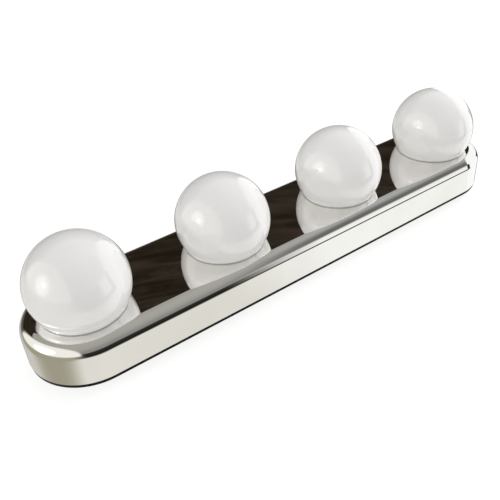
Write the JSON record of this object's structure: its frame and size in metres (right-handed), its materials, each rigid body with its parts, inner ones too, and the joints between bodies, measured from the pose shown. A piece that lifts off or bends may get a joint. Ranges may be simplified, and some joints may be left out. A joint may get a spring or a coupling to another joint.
{
  "type": "vanity light bar",
  "caption": "Battery-powered vanity light bar: chrome stadium-shaped shell with opal globes, black back cover with battery box, slide switch and suction cups.",
  "frame": {"origin": "middle of the plane that the suction cups' lips rest on, under the middle of the bar", "axes": "+X along the bar, +Z from the suction cups to the globes (the way the light shines), +Y towards the long side that has the switch"},
  "size_m": [0.302, 0.0598, 0.0667],
  "materials": {
    "chrome_shell": "vacuum-plated, mirror bright",
    "black_plastic": "fine spark texture",
    "opal": "glossy opal white",
    "white_plastic": "moulded",
    "board": "white solder mask",
    "led": "yellow phosphor in a white package",
    "cell_jacket": "plain printed jacket with bare metal ends",
    "contact_metal": "nickel plated",
    "switch_case": "moulded",
    "switch_knob": "moulded, grooved",
    "screw_steel": "zinc plated",
    "black_screw": "black oxide",
    "cup_rubber": "clear soft vinyl",
    "foam": "closed-cell foam",
    "wire_red": "extruded insulation",
    "wire_black": "extruded insulation"
  },
  "bodies": {
    "light_bar": {"front_shell": "chrome_shell", "back_cover": "black_plastic", "battery_cell_1": "cell_jacket", "battery_cell_2": "cell_jacket", "battery_cell_3": "cell_jacket", "battery_cell_4": "cell_jacket", "contact_plus": "contact_metal", "contact_minus": "contact_metal", "contact_bridge": "contact_metal", "switch_body": "switch_case", "switch_screws": "screw_steel", "globe_1": "opal", "globe_clamp_1": "white_plastic", "led_board_1": "board", "led_chips_1": "led", "globe_2": "opal", "globe_clamp_2": "white_plastic", "led_board_2": "board", "led_chips_2": "led", "globe_3": "opal", "globe_clamp_3": "white_plastic", "led_board_3": "board", "led_chips_3": "led", "globe_4": "opal", "globe_clamp_4": "white_plastic", "led_board_4": "board", "led_chips_4": "led", "clamp_screws": "screw_steel", "cover_screws": "black_screw", "suction_cup_left": "cup_rubber", "suction_cup_right": "cup_rubber", "link_wire_black_1": "wire_black", "link_wire_black_2": "wire_black", "link_wire_black_3": "wire_black", "link_wire_red_1": "wire_red", "link_wire_red_2": "wire_red", "link_wire_red_3": "wire_red", "lead_battery_to_board": "wire_black", "lead_battery_to_switch": "wire_red", "lead_switch_to_board": "wire_red"},
    "door": {"battery_door": "black_plastic", "door_pad": "foam"},
    "knob": {"switch_knob": "switch_knob"}
  },
  "joints": [
    {"name": "battery_door_hinge", "type": "hinge", "parent": "light_bar", "child": "door", "pos_m": [0, -0.0153, 0.005], "axis": [-1, 0, 0], "range_deg": [0, 45]},
    {"name": "switch_slide", "type": "slide", "parent": "light_bar", "child": "knob", "axis": [1, 0, 0], "range_m": [0, 0.003]}
  ]
}
